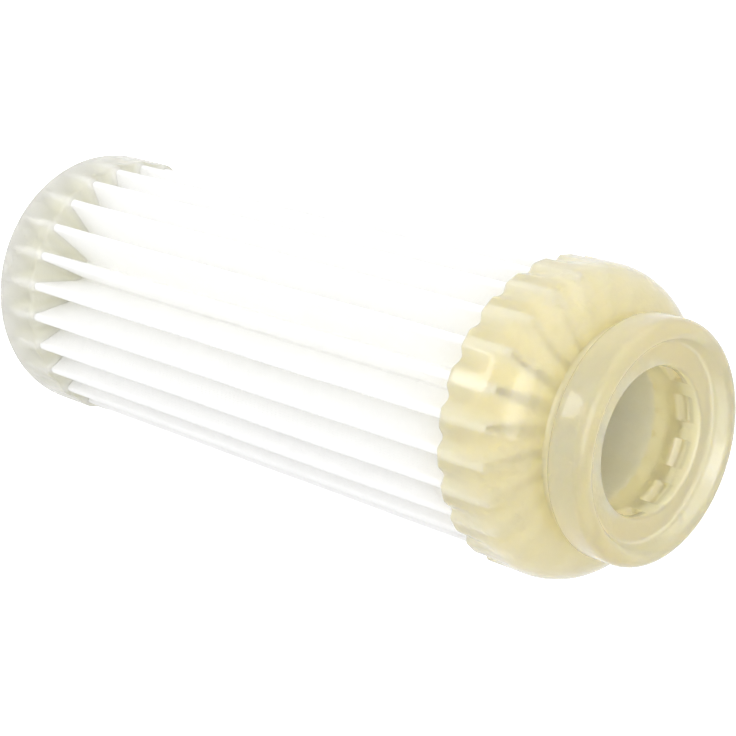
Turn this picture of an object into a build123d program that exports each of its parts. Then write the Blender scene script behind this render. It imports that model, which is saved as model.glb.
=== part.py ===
"""Pleated dust-filter cartridge, standing on its closed end.

One closed loop of pleated polyester stands round a moulded support core. Both ends are potted in
cast polyurethane: a plain closed cap below, and above it an open cap with a fluted skirt over the
pleats, a rounded shoulder, a groove that snaps into a cell plate, and a thick lip round the outlet,
whose wall has a ring of shallow slots.
Millimetres, +Z up. The origin is the centre of the closed cap's outer face.
"""

import os
from math import asin, degrees

from build123d import *

# Whole cartridge
overall_length = 446.0
pleat_count = 25
pack_diameter = 152.4

# Pleated sheet
sheet_thickness = 0.7
tip_fold_radius = 2.5
root_fold_radius = 1.5
sheet_to_core = 0.3
lap_seam_width = 12.0
lap_seam_from_tip = 10.0

# Support core
core_diameter = 81.0
core_wall = 2.0
core_ring_at_potting = 4.5
window_columns = 10
window_rows = 10
window_width = 15.0
window_ring = 7.0

# Closed cap
closed_skin = 2.0
closed_floor = 8.0
closed_edge_radius = 8.0
closed_potting = 27.0
closed_flute_radius = 11.0
closed_flute_depth = 1.4
closed_flute_length = 24.0

# Open cap
lip_diameter = 125.0
lip_thickness = 22.0
lip_edge_radius = 6.5
lip_back_radius = 3.0
recess_mouth_diameter = 107.0
recess_floor_diameter = 100.0
recess_depth = 7.0
recess_edge_radius = 3.0
outlet_lining = 0.5
outlet_edge_radius = 2.0
core_below_lip = 36.0
groove_diameter = 114.0
groove_width = 6.0
groove_corner_radius = 1.5
open_skin = 5.0
open_floor = 48.0
open_potting = 27.0
skirt_flute_radius = 7.0
skirt_flute_depth = 2.4
skirt_flute_length = 21.0
slot_count = 10
slot_width = 15.0
slot_height = 6.5
slot_depth = 2.5
slot_below_lip = 13.0

# Sizes that follow from those above
pack_radius = pack_diameter / 2
pitch_angle = 360 / pleat_count
core_radius = core_diameter / 2
outlet_radius = core_radius - core_wall - outlet_lining
closed_radius = pack_radius + closed_skin
collar_radius = pack_radius + open_skin
groove_radius = groove_diameter / 2
shoulder_radius = collar_radius - groove_radius

sheet_bottom = closed_floor
sheet_top = overall_length - open_floor
closed_rim_height = closed_floor + closed_potting
skirt_height = sheet_top - open_potting
recess_height = overall_length - recess_depth
lip_back_height = overall_length - lip_thickness
shoulder_height = lip_back_height - groove_width

core_bottom = closed_floor
core_top = overall_length - core_below_lip
window_stack = skirt_height - closed_rim_height - 2 * core_ring_at_potting
window_pitch = (window_stack + window_ring) / window_rows
window_height = window_pitch - window_ring
window_top = skirt_height - core_ring_at_potting
window_centres = [window_top - window_height / 2 - window_pitch * row for row in range(window_rows)]


def turned(point, angle):
    """The point turned about the cartridge's axis."""
    return point.rotate(Axis.Z, angle)


def mirrored(point):
    """The point on the other side of the first pleat's centre plane."""
    return Vector(point.X, -point.Y)


def fold_outline(tip_radius, root_radius):
    """One closed, pleated line: round folds at the tips and at the core, joined by straight flanks.

    Both fold centres stay where they are whatever the radii, so two such lines run parallel.
    The first flank is handed back.
    """
    tip_centre = Vector(pack_radius - tip_fold_radius, 0)
    root_centre_radius = core_radius + sheet_to_core + root_fold_radius
    root_centre = turned(Vector(root_centre_radius, 0), pitch_angle / 2)
    run = root_centre - tip_centre
    lean = degrees(asin((tip_radius + root_radius) / run.length))
    outwards = turned(run, lean - 90).normalized()
    tip_start = mirrored(tip_centre + outwards * tip_radius)
    tip_point = tip_centre + Vector(tip_radius, 0)
    tip_end = tip_centre + outwards * tip_radius
    root_start = root_centre - outwards * root_radius
    root_point = turned(Vector(root_centre_radius - root_radius, 0), pitch_angle / 2)
    root_end = turned(mirrored(root_start), pitch_angle)
    for pleat in range(pleat_count):
        turn = pleat * pitch_angle
        next_turn = turn + pitch_angle
        ThreePointArc(turned(tip_start, turn), turned(tip_point, turn), turned(tip_end, turn))
        Line(turned(tip_end, turn), turned(root_start, turn))
        ThreePointArc(turned(root_start, turn), turned(root_point, turn), turned(root_end, turn))
        Line(turned(root_end, turn), turned(tip_start, next_turn))
    return Edge.make_line(tip_end, root_start)


# Pleated sheet
with BuildPart() as pleated_sheet:
    with BuildSketch(Plane.XY.offset(sheet_bottom)):
        with BuildLine():
            flank = fold_outline(tip_fold_radius, root_fold_radius - sheet_thickness)
        make_face()
        with BuildLine():
            fold_outline(tip_fold_radius - sheet_thickness, root_fold_radius)
        make_face(mode=Mode.SUBTRACT)
        seam_along = flank.tangent_at(0)
        seam_across = turned(seam_along, -90) * sheet_thickness
        seam_start = flank.position_at(lap_seam_from_tip / flank.length)
        seam_end = seam_start + seam_along * lap_seam_width
        with BuildLine():
            Polyline(
                seam_start,
                seam_end,
                seam_end + seam_across,
                seam_start + seam_across,
                close=True,
            )
        make_face()
    extrude(amount=sheet_top - sheet_bottom)

# Support core
with BuildPart() as support_core:
    with BuildSketch(Plane.XY.offset(core_bottom)):
        Circle(core_radius)
        Circle(core_radius - core_wall, mode=Mode.SUBTRACT)
    extrude(amount=core_top - core_bottom)
    with Locations(*[(0, 0, height) for height in window_centres]):
        with PolarLocations(core_radius, window_columns):
            Box(core_radius, window_width, window_height, mode=Mode.SUBTRACT)

# Closed cap
with BuildPart() as closed_cap:
    with BuildSketch(Plane.XZ):
        with BuildLine():
            FilletPolyline(
                (0, 0),
                (closed_radius, 0),
                (closed_radius, closed_rim_height),
                (0, closed_rim_height),
                radius=[0, closed_edge_radius, 0, 0],
                close=True,
            )
        make_face()
    revolve(axis=Axis.Z)
    with Locations((0, 0, closed_rim_height)):
        with PolarLocations(
            closed_radius + closed_flute_radius - closed_flute_depth,
            pleat_count,
            start_angle=pitch_angle / 2,
        ):
            Cone(
                closed_flute_radius - closed_flute_depth,
                closed_flute_radius,
                closed_flute_length,
                align=(Align.CENTER, Align.CENTER, Align.MAX),
                mode=Mode.SUBTRACT,
            )
    add(pleated_sheet.part, mode=Mode.SUBTRACT)
    add(support_core.part, mode=Mode.SUBTRACT)

# Open cap
with BuildPart() as open_cap:
    with BuildSketch(Plane.XZ):
        with BuildLine():
            neck = FilletPolyline(
                (outlet_radius, skirt_height),
                (outlet_radius, recess_height),
                (recess_floor_diameter / 2, recess_height),
                (recess_mouth_diameter / 2, overall_length),
                (lip_diameter / 2, overall_length),
                (lip_diameter / 2, lip_back_height),
                (groove_radius, lip_back_height),
                (groove_radius, shoulder_height),
                radius=[
                    outlet_edge_radius,
                    recess_edge_radius,
                    recess_edge_radius,
                    lip_edge_radius,
                    lip_back_radius,
                    groove_corner_radius,
                ],
            )
            shoulder = CenterArc(
                (groove_radius, shoulder_height - shoulder_radius), shoulder_radius, 0, 90
            )
            Polyline(shoulder @ 0, (collar_radius, skirt_height), neck @ 0)
        make_face()
    revolve(axis=Axis.Z)
    with Locations((0, 0, skirt_height)):
        with PolarLocations(
            collar_radius + skirt_flute_radius - skirt_flute_depth,
            pleat_count,
            start_angle=pitch_angle / 2,
        ):
            Cone(
                skirt_flute_radius,
                skirt_flute_radius - skirt_flute_depth,
                skirt_flute_length,
                align=(Align.CENTER, Align.CENTER, Align.MIN),
                mode=Mode.SUBTRACT,
            )
    add(pleated_sheet.part, mode=Mode.SUBTRACT)
    add(support_core.part, mode=Mode.SUBTRACT)
    with Locations((0, 0, overall_length - slot_below_lip)):
        with PolarLocations(outlet_radius + slot_depth, slot_count):
            Box(
                slot_depth * 2,
                slot_width,
                slot_height,
                align=(Align.MAX, Align.CENTER, Align.MAX),
                mode=Mode.SUBTRACT,
            )

os.makedirs("parts", exist_ok=True)
pieces = {
    "open_cap": open_cap,
    "closed_cap": closed_cap,
    "pleated_sheet": pleated_sheet,
    "support_core": support_core,
}
for name, piece in pieces.items():
    piece.part.label = name
    export_step(piece.part, f"parts/{name}.step")
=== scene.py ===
"""Looks of the pleated dust-filter cartridge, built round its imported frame.

Metres, +Z up, the cartridge standing on its closed end with the outlet at the top.
"""

from math import asin, atan2, cos, exp, hypot, pi, radians, sin, tan

import bmesh
import bpy
from mathutils import Matrix, Vector, noise
from mathutils.geometry import intersect_point_line


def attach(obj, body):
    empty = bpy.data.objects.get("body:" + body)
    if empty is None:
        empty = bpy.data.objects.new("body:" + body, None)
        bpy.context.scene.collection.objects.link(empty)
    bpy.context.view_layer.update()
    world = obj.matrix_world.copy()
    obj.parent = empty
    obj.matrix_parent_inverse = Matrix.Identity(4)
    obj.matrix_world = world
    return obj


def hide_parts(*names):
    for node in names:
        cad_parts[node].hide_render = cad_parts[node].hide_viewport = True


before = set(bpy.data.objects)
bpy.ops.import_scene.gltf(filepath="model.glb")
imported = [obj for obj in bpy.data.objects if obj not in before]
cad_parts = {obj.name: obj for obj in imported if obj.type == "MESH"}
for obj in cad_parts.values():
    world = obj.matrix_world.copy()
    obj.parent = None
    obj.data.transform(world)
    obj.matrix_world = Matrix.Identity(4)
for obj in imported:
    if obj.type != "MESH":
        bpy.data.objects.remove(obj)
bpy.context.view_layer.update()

# The viewpoint: a short telephoto lens above the outlet end, about a metre away and turned on its
# side, so that the standing cartridge lies across the picture with its outlet to the right.
camera_aim = Vector((-0.0031, -0.0045, 0.2442))
camera_azimuth = radians(145.61)
camera_elevation = radians(42.86)
camera_distance = 1.1362
camera_roll = radians(106.92)

camera_data = bpy.data.cameras.new("camera")
camera_data.sensor_width = 36.0
camera_data.lens = 101.1
camera = bpy.data.objects.new("camera", camera_data)
bpy.context.scene.collection.objects.link(camera)
camera_side = Vector(
    (
        cos(camera_elevation) * cos(camera_azimuth),
        cos(camera_elevation) * sin(camera_azimuth),
        sin(camera_elevation),
    )
)
level_view = (-camera_side).to_track_quat("-Z", "Y").to_matrix().to_4x4()
camera.matrix_world = (
    Matrix.Translation(camera_aim + camera_side * camera_distance)
    @ level_view
    @ Matrix.Rotation(camera_roll, 4, "Z")
)
bpy.context.scene.camera = camera

# The pleated sheet: one length of spunbond polyester, folded into 25 deep pleats and closed to a
# ring by a welded lap on one flank. The folds are pressed in hot, and both edges are cast in.
upright_axis = (0, 0, 1)
centre = (0, 0, 0)
pleat_count = 25
pitch_angle = 2 * pi / pleat_count
sheet_thickness = 0.0007
sheet_bottom = 0.008
sheet_top = 0.398
tip_radius = 0.00215
tip_distance = 0.0737
root_radius = 0.00115
root_distance = 0.0423
tip_steps = 7
flank_steps = 9
root_steps = 4
sheet_rows = 30
lap_from_tip = 0.010
lap_width = 0.012
fold_drift = 0.0004
fold_drift_length = 0.09
weld_reach = 1e-5

tip_centre = Vector((tip_distance, 0, 0))
root_centre = Matrix.Rotation(pitch_angle / 2, 3, "Z") @ Vector((root_distance, 0, 0))
fold_run = root_centre - tip_centre
flank_angle = (
    atan2(fold_run.y, fold_run.x) - pi / 2 + asin((tip_radius + root_radius) / fold_run.length)
)
flank_normal = Vector((cos(flank_angle), sin(flank_angle), 0))
flank_start = tip_centre + flank_normal * tip_radius
flank_end = root_centre - flank_normal * root_radius
flank_length = (flank_end - flank_start).length
half_pleat_length = (
    tip_radius * flank_angle + flank_length + root_radius * (flank_angle - pitch_angle / 2)
)


def new_piece(name, shape, material):
    """A piece of the cartridge, with its place in its mesh."""
    mesh = bpy.data.meshes.new(name)
    bm = bmesh.new()
    shape(bm)
    bm.to_mesh(mesh)
    bm.free()
    mesh.shade_smooth()
    mesh.materials.append(material)
    piece = bpy.data.objects.new(name, mesh)
    bpy.context.scene.collection.objects.link(piece)
    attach(piece, "root")
    return piece


def in_half_pleat(place):
    """The same spot moved to the half pleat beside +X, and how many half pleats that took."""
    turn = atan2(place.y, place.x) % (2 * pi)
    half = pitch_angle / 2
    count = int(turn / half)
    across = turn - count * half if count % 2 == 0 else (count + 1) * half - turn
    distance = hypot(place.x, place.y)
    return Vector((distance * cos(across), distance * sin(across), 0)), count


def along_half_pleat(spot):
    """How far along the cloth the spot lies, from the crest to the bottom of the fold."""
    from_tip = spot - tip_centre
    tip_turn = atan2(from_tip.y, from_tip.x)
    if tip_turn < flank_angle:
        return tip_radius * tip_turn
    share = intersect_point_line(spot, flank_start, flank_end)[1]
    from_root = spot - root_centre
    root_turn = 0.0
    if share >= 1:
        root_turn = flank_angle + pi - atan2(from_root.y, from_root.x) % (2 * pi)
    return (
        tip_radius * flank_angle + flank_length * min(max(share, 0), 1) + root_radius * root_turn
    )


def fold_pleats(bm):
    tip = bm.verts.new(tip_centre + Vector((tip_radius, 0, 0)))
    bmesh.ops.spin(
        bm, geom=[tip], cent=tip_centre, axis=upright_axis, angle=flank_angle, steps=tip_steps
    )
    root = bm.verts.new(flank_end)
    bmesh.ops.spin(
        bm,
        geom=[root],
        cent=root_centre,
        axis=upright_axis,
        angle=pitch_angle / 2 - flank_angle,
        steps=root_steps,
    )
    flank_first = min(bm.verts, key=lambda vert: (vert.co - flank_start).length)
    flank = bm.edges.new((flank_first, root))
    bmesh.ops.subdivide_edges(bm, edges=[flank], cuts=flank_steps - 1)
    bmesh.ops.mirror(
        bm, geom=bm.verts[:] + bm.edges[:], axis="Y", matrix=Matrix.Identity(4), merge_dist=weld_reach
    )
    bmesh.ops.spin(
        bm,
        geom=bm.verts[:] + bm.edges[:],
        cent=centre,
        axis=upright_axis,
        angle=2 * pi,
        steps=pleat_count,
        use_duplicate=True,
    )
    bmesh.ops.remove_doubles(bm, verts=bm.verts, dist=weld_reach)
    bmesh.ops.translate(bm, verts=bm.verts, vec=(0, 0, sheet_bottom))
    row_height = (sheet_top - sheet_bottom) / sheet_rows
    line = bm.edges[:]
    for row in range(sheet_rows):
        raised = bmesh.ops.extrude_edge_only(bm, edges=line)["geom"]
        verts = [part for part in raised if isinstance(part, bmesh.types.BMVert)]
        bmesh.ops.translate(bm, verts=verts, vec=(0, 0, row_height))
        tops = set(verts)
        line = [
            part
            for part in raised
            if isinstance(part, bmesh.types.BMEdge) and tops.issuperset(part.verts)
        ]
    bmesh.ops.recalc_face_normals(bm, faces=bm.faces)
    lap = [face for face in bm.faces if on_lap(face.calc_center_median())]
    copy = bmesh.ops.duplicate(bm, geom=lap)["geom"]
    lap_verts = [part for part in copy if isinstance(part, bmesh.types.BMVert)]
    bmesh.ops.translate(bm, verts=lap_verts, vec=flank_normal * sheet_thickness)
    along = [along_half_pleat(in_half_pleat(vert.co)[0]) for vert in bm.verts]
    bm.verts.index_update()
    cloth_map = bm.loops.layers.uv.new("cloth")
    for face in bm.faces:
        count = in_half_pleat(face.calc_center_median())[1]
        for loop in face.loops:
            folded = along[loop.vert.index]
            across = (count + 1) * half_pleat_length - folded if count % 2 else folded
            whole = 0 if count % 2 else count * half_pleat_length
            loop[cloth_map].uv = (whole + across, loop.vert.co.z)
    for vert in bm.verts:
        drift = noise.noise_vector(vert.co / fold_drift_length) * fold_drift
        vert.co += Vector((drift.x, drift.y, 0))


def on_lap(place):
    """Whether the place is on the first pleat's flank where the two ends of the cloth overlap."""
    spot, count = in_half_pleat(place)
    return count == 0 and lap_from_tip < along_half_pleat(spot) < lap_from_tip + lap_width


def new_material(name):
    """A material with its node tree and its Principled shader."""
    material = bpy.data.materials.new(name)
    material.use_nodes = True
    return material, material.node_tree, material.node_tree.nodes["Principled BSDF"]


def make_patches():
    """Soft, irregular patches, which the cloth, the core and the castings all show."""
    tree = bpy.data.node_groups.new("patches", "ShaderNodeTree")
    tree.interface.new_socket("Vector", in_out="INPUT", socket_type="NodeSocketVector")
    tree.interface.new_socket("Scale", in_out="INPUT", socket_type="NodeSocketFloat")
    tree.interface.new_socket("Mask", in_out="OUTPUT", socket_type="NodeSocketFloat")
    inputs = tree.nodes.new("NodeGroupInput")
    outputs = tree.nodes.new("NodeGroupOutput")
    cloud = tree.nodes.new("ShaderNodeTexNoise")
    cloud.inputs["Detail"].default_value = 3.0
    spread = tree.nodes.new("ShaderNodeMapRange")
    spread.inputs["From Min"].default_value = 0.3
    spread.inputs["From Max"].default_value = 0.7
    tree.links.new(inputs.outputs["Vector"], cloud.inputs["Vector"])
    tree.links.new(inputs.outputs["Scale"], cloud.inputs["Scale"])
    tree.links.new(cloud.outputs["Fac"], spread.inputs["Value"])
    tree.links.new(spread.outputs["Result"], outputs.inputs["Mask"])
    return tree


patches = make_patches()


def add_patches(tree, place, scale):
    """The mask of such patches on a surface, so many to the metre."""
    node = tree.nodes.new("ShaderNodeGroup")
    node.node_tree = patches
    node.inputs["Scale"].default_value = scale
    tree.links.new(place, node.inputs["Vector"])
    return node.outputs["Mask"]


def between(tree, mask, low, high):
    """A value, or a colour, that follows the mask from the low one to the high one."""
    node = tree.nodes.new("ShaderNodeMix")
    first, second, result = node.inputs[2], node.inputs[3], node.outputs[0]
    if isinstance(low, tuple):
        node.data_type = "RGBA"
        first, second, result = node.inputs[6], node.inputs[7], node.outputs[2]
        low, high = (*low, 1), (*high, 1)
    first.default_value = low
    second.default_value = high
    tree.links.new(mask, node.inputs[0])
    return result


def add_bump(tree, shader, height, distance):
    """Relief of the given depth on the surface."""
    bump = tree.nodes.new("ShaderNodeBump")
    bump.inputs["Distance"].default_value = distance
    tree.links.new(height, bump.inputs["Height"])
    tree.links.new(bump.outputs["Normal"], shader.inputs["Normal"])


cloth_white = (0.985, 0.985, 0.98)
cloth_shade = (0.965, 0.965, 0.955)
cloth_patches = 60.0
bond_spacing = 0.0024
bond_radius = 0.00045
fibres = 900.0
fibre_stretch = 0.2
cloth_relief = 0.00012

cloth, cloth_tree, cloth_shader = new_material("filter_cloth")
cloth_shader.inputs["Subsurface Weight"].default_value = 1.0
cloth_shader.inputs["Subsurface Radius"].default_value = (1, 1, 1)
cloth_shader.inputs["Subsurface Scale"].default_value = 0.0012
cloth_shader.inputs["Sheen Weight"].default_value = 0.15
cloth_shader.inputs["Specular IOR Level"].default_value = 0.2
cloth_links = cloth_tree.links
cloth_place = cloth_tree.nodes.new("ShaderNodeUVMap")
cloth_place.uv_map = "cloth"
cloth_mask = add_patches(cloth_tree, cloth_place.outputs["UV"], cloth_patches)
cloth_colour = between(cloth_tree, cloth_mask, cloth_shade, cloth_white)
cloth_links.new(cloth_colour, cloth_shader.inputs["Base Color"])
cloth_gloss = between(cloth_tree, cloth_mask, 0.78, 0.92)
cloth_links.new(cloth_gloss, cloth_shader.inputs["Roughness"])
bond_grid = cloth_tree.nodes.new("ShaderNodeTexVoronoi")
bond_grid.voronoi_dimensions = "2D"
bond_grid.inputs["Scale"].default_value = 1 / bond_spacing
bond_grid.inputs["Randomness"].default_value = 0.0
bond_turn = cloth_tree.nodes.new("ShaderNodeMapping")
bond_turn.inputs["Rotation"].default_value = (0, 0, radians(45))
bond_mask = cloth_tree.nodes.new("ShaderNodeMapRange")
bond_mask.inputs["From Min"].default_value = bond_radius / bond_spacing
bond_mask.inputs["From Max"].default_value = 1.6 * bond_radius / bond_spacing
fibre_stretching = cloth_tree.nodes.new("ShaderNodeMapping")
fibre_stretching.inputs["Scale"].default_value = (1, fibre_stretch, 1)
fibre_mask = add_patches(cloth_tree, fibre_stretching.outputs["Vector"], fibres)
fibre_height = between(cloth_tree, fibre_mask, 0.6, 1.0)
cloth_height = cloth_tree.nodes.new("ShaderNodeMath")
cloth_height.operation = "MULTIPLY"
cloth_links.new(cloth_place.outputs["UV"], bond_turn.inputs["Vector"])
cloth_links.new(bond_turn.outputs["Vector"], bond_grid.inputs["Vector"])
cloth_links.new(bond_grid.outputs["Distance"], bond_mask.inputs["Value"])
cloth_links.new(cloth_place.outputs["UV"], fibre_stretching.inputs["Vector"])
cloth_links.new(bond_mask.outputs["Result"], cloth_height.inputs[0])
cloth_links.new(fibre_height, cloth_height.inputs[1])
add_bump(cloth_tree, cloth_shader, cloth_height.outputs[0], cloth_relief)

sheet = new_piece("filter_sheet", fold_pleats, cloth)
sheet_wall = sheet.modifiers.new("thickness", "SOLIDIFY")
sheet_wall.thickness = sheet_thickness
sheet_wall.offset = 0
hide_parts("pleated_sheet")

# The support core: a moulded polypropylene tube of staves and rings that keeps the pleats from
# being drawn in. It comes out of its mould with softened edges, and both ends are cast in.
core_radius = 0.0405
core_wall = 0.002
core_bottom = 0.008
core_top = 0.410
core_first_window = 0.0395
core_last_window = 0.3665
core_ring = 0.007
core_rows = 10
core_columns = 10
core_steps_per_window = 6
core_steps_per_stave = 4
core_edge = 0.0005

window_pitch = (core_last_window - core_first_window + core_ring) / core_rows
window_height = window_pitch - core_ring
window_angle = 2 * pi / core_columns


def mould_core(bm):
    heights = [core_bottom]
    for row in range(core_rows):
        sill = core_first_window + window_pitch * row
        heights += [sill, sill + window_height]
    heights.append(core_top)
    corners = [bm.verts.new((core_radius, 0, height)) for height in heights]
    for lower, upper in zip(corners, corners[1:]):
        bm.edges.new((lower, upper))
    bmesh.ops.spin(
        bm,
        geom=bm.verts[:] + bm.edges[:],
        cent=centre,
        axis=upright_axis,
        angle=2 * pi,
        steps=core_columns * (core_steps_per_window + core_steps_per_stave),
        use_merge=True,
    )
    bmesh.ops.recalc_face_normals(bm, faces=bm.faces)
    half_window = pi * core_steps_per_window / (
        core_columns * (core_steps_per_window + core_steps_per_stave)
    )
    openings = []
    for face in bm.faces:
        middle = face.calc_center_median()
        turn = atan2(middle.y, middle.x)
        from_window = abs((turn + window_angle / 2) % window_angle - window_angle / 2)
        row_place = (middle.z - core_first_window) % window_pitch
        inside = core_first_window < middle.z < core_last_window
        if inside and from_window < half_window and row_place < window_height:
            openings.append(face)
    bmesh.ops.delete(bm, geom=openings, context="FACES")


core_white = (0.965, 0.965, 0.94)
core_milky = (0.93, 0.93, 0.895)
core_patches = 25.0
core_grain = 1500.0
core_relief = 0.00003

core_plastic, core_tree, core_shader = new_material("core_plastic")
core_shader.inputs["Subsurface Weight"].default_value = 1.0
core_shader.inputs["Subsurface Radius"].default_value = (1, 1, 0.9)
core_shader.inputs["Subsurface Scale"].default_value = 0.006
core_place = core_tree.nodes.new("ShaderNodeTexCoord").outputs["Object"]
core_mask = add_patches(core_tree, core_place, core_patches)
core_colour = between(core_tree, core_mask, core_milky, core_white)
core_tree.links.new(core_colour, core_shader.inputs["Base Color"])
core_gloss = between(core_tree, core_mask, 0.34, 0.46)
core_tree.links.new(core_gloss, core_shader.inputs["Roughness"])
core_height = add_patches(core_tree, core_place, core_grain)
add_bump(core_tree, core_shader, core_height, core_relief)

core = new_piece("moulded_core", mould_core, core_plastic)
core_thickness = core.modifiers.new("wall", "SOLIDIFY")
core_thickness.thickness = core_wall
core_thickness.offset = -1
core_thickness.use_even_offset = True
core_softening = core.modifiers.new("softened_edges", "BEVEL")
core_softening.width = core_edge
core_softening.segments = 2
core_softening.limit_method = "ANGLE"
core_softening.angle_limit = radians(50)
core_softening.harden_normals = True
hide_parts("support_core")

# The closed cap: clear, honey-coloured polyurethane poured into a shallow mould with the pleats
# standing in it. It creeps up the cloth, and leaves a pool with a raised rim in every valley.
cast_steps_per_pleat = 20
closed_radius = 0.0782
closed_edge_radius = 0.008
closed_rim_radius = 0.0012
closed_rim_height = 0.035
closed_notch_depth = 0.0014
closed_notch_half_width = 0.008
closed_notch_length = 0.024
creep_height = 0.0028
creep_reach = 0.0011
fine_run = 0.0013
coarse_run = 0.008


def cast_section(bm, corners, closed, run_length):
    """A section through a casting. Each corner is its radius, its height and its rounding."""
    places = [Vector((radius, 0, height)) for radius, height, rounding in corners]
    verts = [bm.verts.new(place) for place in places]
    for start, end in zip(verts, verts[1:]):
        bm.edges.new((start, end))
    if closed:
        bm.edges.new((verts[-1], verts[0]))
    for number, vert in enumerate(verts):
        rounding = corners[number][2]
        if rounding:
            before = places[number] - places[number - 1]
            after = places[(number + 1) % len(places)] - places[number]
            turn = before.angle(after)
            bmesh.ops.bevel(
                bm,
                geom=[vert],
                offset=rounding * tan(turn / 2),
                offset_type="OFFSET",
                segments=max(3, round(turn * rounding / 0.0012)),
                profile=0.5,
                affect="VERTICES",
                material=-1,
            )
    bmesh.ops.remove_doubles(bm, verts=bm.verts, dist=weld_reach)
    for edge in bm.edges[:]:
        middle = (edge.verts[0].co + edge.verts[1].co) / 2
        parts = round(edge.calc_length() / run_length(middle))
        if parts > 1:
            bmesh.ops.subdivide_edges(bm, edges=[edge], cuts=parts - 1)


def turn_round(bm, angle, steps, copies=False):
    """What is there, spun about the cartridge's axis, or copied about it."""
    bmesh.ops.spin(
        bm,
        geom=bm.verts[:] + bm.edges[:] + bm.faces[:],
        cent=centre,
        axis=upright_axis,
        angle=angle,
        steps=steps,
        use_duplicate=copies,
    )


def cast_ring(bm, shape_vert):
    """The section cast round one pleat, shaped there, and repeated round the whole cartridge."""
    half_step = pitch_angle / cast_steps_per_pleat / 2
    bmesh.ops.rotate(
        bm, verts=bm.verts, cent=centre, matrix=Matrix.Rotation(half_step, 3, "Z")
    )
    turn_round(bm, pitch_angle, cast_steps_per_pleat)
    for vert in bm.verts:
        shape_vert(vert)
    turn_round(bm, 2 * pi, pleat_count, copies=True)
    bmesh.ops.remove_doubles(bm, verts=bm.verts, dist=weld_reach)
    bmesh.ops.recalc_face_normals(bm, faces=bm.faces)


def notch(place, half_width):
    """One in the middle of a valley between two pleats, falling smoothly to nothing beside it."""
    turn = atan2(place.y, place.x) % pitch_angle - pitch_angle / 2
    share = min(abs(turn) * hypot(place.x, place.y) / half_width, 1)
    return (1 - share * share) ** 2


def creep(place):
    """The height that the liquid resin has climbed by, near to the cloth."""
    spot = in_half_pleat(place)[0]
    from_flank = (spot - intersect_point_line(spot, flank_start, flank_end)[0]).length
    share = intersect_point_line(spot, flank_start, flank_end)[1]
    if share < 0:
        from_flank = abs((spot - tip_centre).length - tip_radius)
    elif share > 1:
        from_flank = abs((spot - root_centre).length - root_radius)
    return creep_height * exp(-max(from_flank - sheet_thickness / 2, 0) / creep_reach)


def move_outwards(vert, amount):
    """Moves a point of a casting straight away from the axis."""
    outwards = Vector((vert.co.x, vert.co.y, 0)).normalized()
    vert.co += outwards * amount


def shape_closed_rim(vert):
    distance = hypot(vert.co.x, vert.co.y)
    depth = (closed_rim_height - vert.co.z) / closed_notch_length
    if distance > tip_distance and depth < 1:
        cut = notch(vert.co, closed_notch_half_width) * (1 - depth)
        move_outwards(vert, -closed_notch_depth * cut)
    if vert.co.z > closed_rim_height - weld_reach and distance > core_radius:
        vert.co.z += creep(vert.co)


def pour_closed_cap(bm):
    corners = [
        (0, 0, 0),
        (closed_radius, 0, closed_edge_radius),
        (closed_radius, closed_rim_height, closed_rim_radius),
        (0, closed_rim_height, 0),
    ]
    flange = core_radius - core_wall
    cast_section(
        bm,
        corners,
        False,
        lambda place: fine_run if place.x > flange and place.z > sheet_bottom else coarse_run,
    )
    cast_ring(bm, shape_closed_rim)


def mix_resin(name, clarity, clear, cloudy, scattering, absorbed, density):
    """Cast resin: cloudy inside, glossy outside, and deeper in colour the thicker it is."""
    resin, tree, shader = new_material(name)
    shader.inputs["IOR"].default_value = 1.5
    shader.inputs["Transmission Weight"].default_value = clarity
    shader.inputs["Subsurface Weight"].default_value = 1.0
    shader.inputs["Subsurface Radius"].default_value = scattering
    shader.inputs["Subsurface Scale"].default_value = 0.006
    shader.inputs["Coat Weight"].default_value = 1.0
    shader.inputs["Coat Roughness"].default_value = 0.08
    place = tree.nodes.new("ShaderNodeTexCoord").outputs["Object"]
    mask = add_patches(tree, place, resin_patches)
    tree.links.new(between(tree, mask, cloudy, clear), shader.inputs["Base Color"])
    tree.links.new(between(tree, mask, 0.45, 0.3), shader.inputs["Roughness"])
    add_bump(tree, shader, add_patches(tree, place, resin_ripples), resin_relief)
    output = tree.nodes["Material Output"]
    light_path = tree.nodes.new("ShaderNodeLightPath")
    see_through = tree.nodes.new("ShaderNodeBsdfTransparent")
    either = tree.nodes.new("ShaderNodeMixShader")
    tree.links.new(light_path.outputs["Is Shadow Ray"], either.inputs[0])
    tree.links.new(shader.outputs[0], either.inputs[1])
    tree.links.new(see_through.outputs[0], either.inputs[2])
    tree.links.new(either.outputs[0], output.inputs["Surface"])
    depth = tree.nodes.new("ShaderNodeVolumeAbsorption")
    depth.inputs["Color"].default_value = (*absorbed, 1)
    depth.inputs["Density"].default_value = density
    tree.links.new(depth.outputs[0], output.inputs["Volume"])
    return resin


resin_patches = 45.0
resin_ripples = 120.0
resin_relief = 0.0003
closed_resin = mix_resin(
    "clear_resin", 0.93, (0.98, 0.975, 0.94), (0.96, 0.955, 0.90), (1, 0.95, 0.6), (0.93, 0.9, 0.5), 10.0
)

closed_cap = new_piece("poured_closed_cap", pour_closed_cap, closed_resin)
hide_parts("closed_cap")

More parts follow.
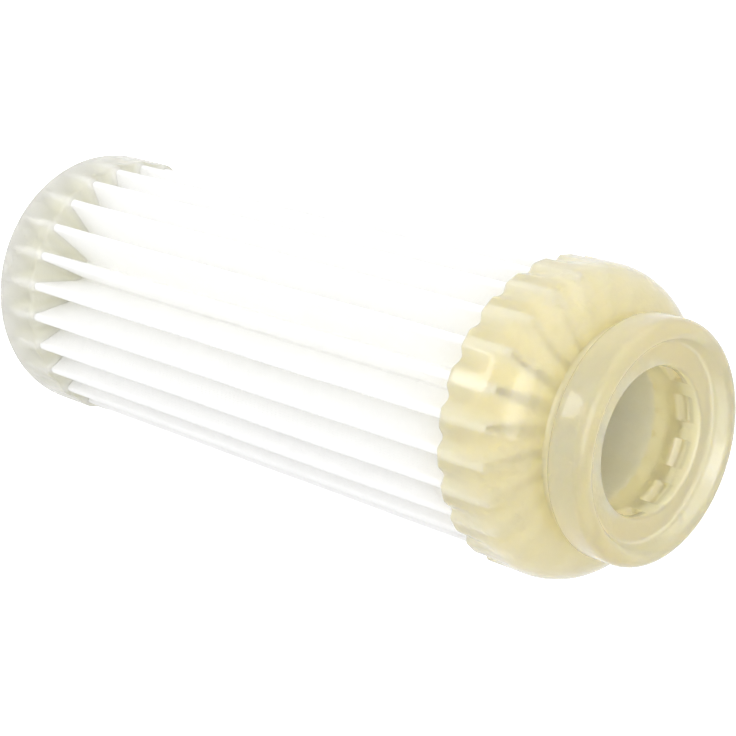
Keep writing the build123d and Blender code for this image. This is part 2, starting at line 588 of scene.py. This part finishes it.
# The open cap: the same polyurethane, cast round the outlet end in a deeper mould. A fluted skirt
# covers the pleats, and above its shoulder a groove and a thick lip snap into a cell plate.
outlet_radius = 0.038
overall_height = 0.446
lip_radius = 0.0625
lip_edge_radius = 0.0065
lip_back_radius = 0.003
lip_back_height = 0.424
recess_mouth_radius = 0.0535
recess_floor_radius = 0.050
recess_height = 0.439
recess_edge_radius = 0.003
outlet_edge_radius = 0.002
slot_top = 0.433
slot_bottom = 0.4265
slot_depth = 0.0025
slot_half_angle = radians(11.3)
groove_radius = 0.057
groove_corner_radius = 0.0015
shoulder_height = 0.418
collar_radius = 0.0812
skirt_height = 0.371
skirt_edge_radius = 0.0015
skirt_notch_depth = 0.0024
skirt_notch_half_width = 0.0062
skirt_notch_length = 0.021
skirt_scallop = 0.0012


def shape_skirt(vert):
    distance = hypot(vert.co.x, vert.co.y)
    rise = (vert.co.z - skirt_height) / skirt_notch_length
    if vert.co.z < skirt_height + weld_reach and distance > core_radius:
        vert.co.z -= creep(vert.co)
    if distance > tip_distance and rise < 1:
        cut = notch(vert.co, skirt_notch_half_width) * (1 - rise)
        move_outwards(vert, -skirt_notch_depth * cut)
        vert.co.z += skirt_scallop * cut * (1 - rise)


def pour_open_cap(bm):
    corners = [
        (outlet_radius, skirt_height, outlet_edge_radius),
        (outlet_radius, slot_bottom, 0),
        (outlet_radius, slot_top, 0),
        (outlet_radius, recess_height, outlet_edge_radius),
        (recess_floor_radius, recess_height, recess_edge_radius),
        (recess_mouth_radius, overall_height, recess_edge_radius),
        (lip_radius, overall_height, lip_edge_radius),
        (lip_radius, lip_back_height, lip_back_radius),
        (groove_radius, lip_back_height, groove_corner_radius),
        (groove_radius, shoulder_height, 0),
        (collar_radius, shoulder_height, collar_radius - groove_radius),
        (collar_radius, skirt_height, skirt_edge_radius),
    ]
    flange = core_radius
    cast_section(
        bm,
        corners,
        True,
        lambda place: fine_run if place.x > flange and place.z < shoulder_height else 3 * fine_run,
    )
    cast_ring(bm, shape_skirt)
    slots = []
    for face in bm.faces:
        middle = face.calc_center_median()
        turn = atan2(middle.y, middle.x)
        from_window = abs((turn + window_angle / 2) % window_angle - window_angle / 2)
        if (
            hypot(middle.x, middle.y) < outlet_radius + weld_reach
            and slot_bottom < middle.z < slot_top
            and from_window < slot_half_angle
        ):
            slots.append(face)
    sunk = bmesh.ops.extrude_face_region(bm, geom=slots)["geom"]
    bmesh.ops.delete(bm, geom=slots, context="FACES_ONLY")
    for part in sunk:
        if isinstance(part, bmesh.types.BMVert):
            move_outwards(part, slot_depth)


open_resin = mix_resin(
    "honey_resin", 0.75, (0.94, 0.92, 0.79), (0.91, 0.88, 0.72), (1, 0.9, 0.45), (0.95, 0.87, 0.4), 22.0
)

open_cap = new_piece("poured_open_cap", pour_open_cap, open_resin)
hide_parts("open_cap")

# The studio: a white floor and a white room, both brighter to the eye than what they give the
# cartridge to mirror, and large soft lamps above it, by its outlet and low beside its neck.
studio_centre = Vector((0, 0, overall_height / 2))
floor_size = 6.0
floor_glow = 0.35
floor_glow_seen = 1.0
floor_mesh = bpy.data.meshes.new("floor")
floor_bm = bmesh.new()
bmesh.ops.create_grid(floor_bm, x_segments=1, y_segments=1, size=floor_size)
floor_bm.to_mesh(floor_mesh)
floor_bm.free()
floor = bpy.data.objects.new("floor", floor_mesh)
bpy.context.scene.collection.objects.link(floor)
floor_paint, floor_tree, floor_shader = new_material("floor_paint")
floor_shader.inputs["Base Color"].default_value = (0.6, 0.6, 0.6, 1)
floor_shader.inputs["Roughness"].default_value = 0.9
floor_shader.inputs["Emission Color"].default_value = (1, 1, 1, 1)
floor_path = floor_tree.nodes.new("ShaderNodeLightPath")
floor_light = between(floor_tree, floor_path.outputs["Is Camera Ray"], floor_glow, floor_glow_seen)
floor_tree.links.new(floor_light, floor_shader.inputs["Emission Strength"])
floor_mesh.materials.append(floor_paint)

upper_side = Vector((0.02, 0.97, 0.16)).normalized()
room_low = 0.80
room_high = 1.05
room_seen = 1.0
room = bpy.data.worlds.new("room")
room.use_nodes = True
room_tree = room.node_tree
room_links = room_tree.links
room_light = room_tree.nodes["Background"]
room_light.inputs["Color"].default_value = (1, 1, 1, 1)
room_place = room_tree.nodes.new("ShaderNodeTexCoord")
room_side = room_tree.nodes.new("ShaderNodeVectorMath")
room_side.operation = "DOT_PRODUCT"
room_side.inputs[1].default_value = upper_side
room_range = room_tree.nodes.new("ShaderNodeMapRange")
room_range.inputs["From Min"].default_value = -1.0
room_range.inputs["From Max"].default_value = 1.0
room_range.inputs["To Min"].default_value = room_low
room_range.inputs["To Max"].default_value = room_high
room_path = room_tree.nodes.new("ShaderNodeLightPath")
room_strength = room_tree.nodes.new("ShaderNodeMix")
room_strength.inputs[3].default_value = room_seen
room_links.new(room_place.outputs["Generated"], room_side.inputs[0])
room_links.new(room_side.outputs["Value"], room_range.inputs["Value"])
room_links.new(room_path.outputs["Is Camera Ray"], room_strength.inputs[0])
room_links.new(room_range.outputs["Result"], room_strength.inputs[2])
room_links.new(room_strength.outputs[0], room_light.inputs["Strength"])
bpy.context.scene.world = room

lamps = (
    ("upper_lamp", Vector((0.30, 0.90, 0.35)), 1.3, 1.2, 1.5),
    ("outlet_lamp", Vector((-0.47, 0.33, 0.82)), 1.4, 1.0, 4.0),
    ("front_lamp", Vector((-0.605, 0.414, 0.60)), 2.0, 1.2, 2.5),
    ("low_lamp", Vector((-0.62, 0.62, -0.35)), 0.55, 0.22, 0.4),
)
for lamp_name, lamp_side, lamp_distance, lamp_size, lamp_power in lamps:
    lamp_data = bpy.data.lights.new(lamp_name, "AREA")
    lamp_data.shape = "DISK"
    lamp_data.size = lamp_size
    lamp_data.energy = lamp_power
    lamp = bpy.data.objects.new(lamp_name, lamp_data)
    lamp_side = lamp_side.normalized()
    lamp.matrix_world = (
        Matrix.Translation(studio_centre + lamp_side * lamp_distance)
        @ lamp_side.to_track_quat("Z", "Y").to_matrix().to_4x4()
    )
    lamp.visible_camera = False
    bpy.context.scene.collection.objects.link(lamp)

scene = bpy.context.scene
scene.view_settings.view_transform = "Standard"
scene.cycles.use_denoising = True
scene.cycles.max_bounces = 48
scene.cycles.diffuse_bounces = 40
scene.cycles.transmission_bounces = 16
scene.cycles.transparent_max_bounces = 16
